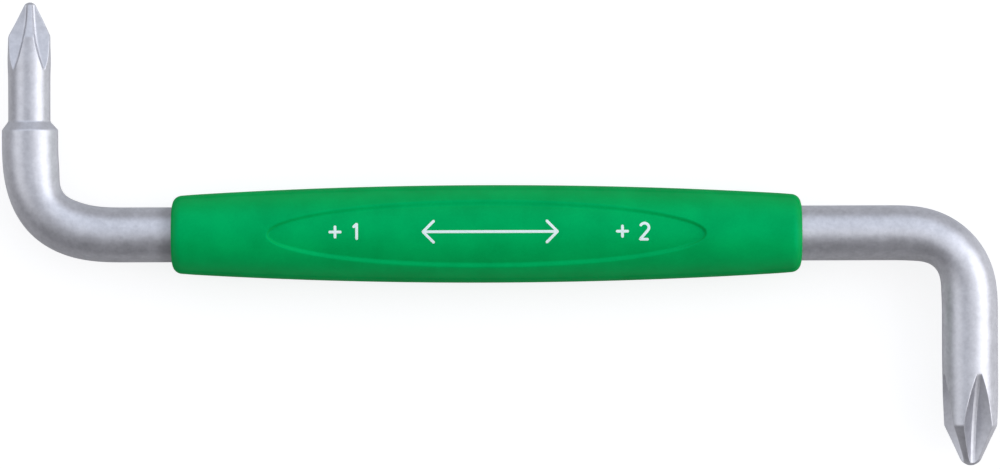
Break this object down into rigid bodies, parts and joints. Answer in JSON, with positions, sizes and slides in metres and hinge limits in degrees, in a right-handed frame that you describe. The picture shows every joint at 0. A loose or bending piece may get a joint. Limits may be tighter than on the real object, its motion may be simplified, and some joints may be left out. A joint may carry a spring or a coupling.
{
  "type": "offset screwdriver",
  "caption": "Z-shaped offset screwdriver: a bent round steel bar with a small and a large cross tip on opposite arms, and a moulded barrel grip with sunk oval panels.",
  "frame": {"origin": "centre of the bounding box, which is on the bar's axis, halfway between the axes of the two arms", "axes": "+X along the bar from the small tip's arm to the large tip's arm, +Y the way the small tip points (the large tip points along -Y), +Z out of the plane of the Z, through the front panel of the grip"},
  "size_m": [0.1086, 0.0508, 0.01],
  "materials": {
    "satin_steel": "fine satin, as blasted and plated",
    "green_plastic": "satin moulded, bluish green"
  },
  "bodies": {
    "root": {"steel_bar": "satin_steel", "grip": "green_plastic"}
  },
  "joints": []
}
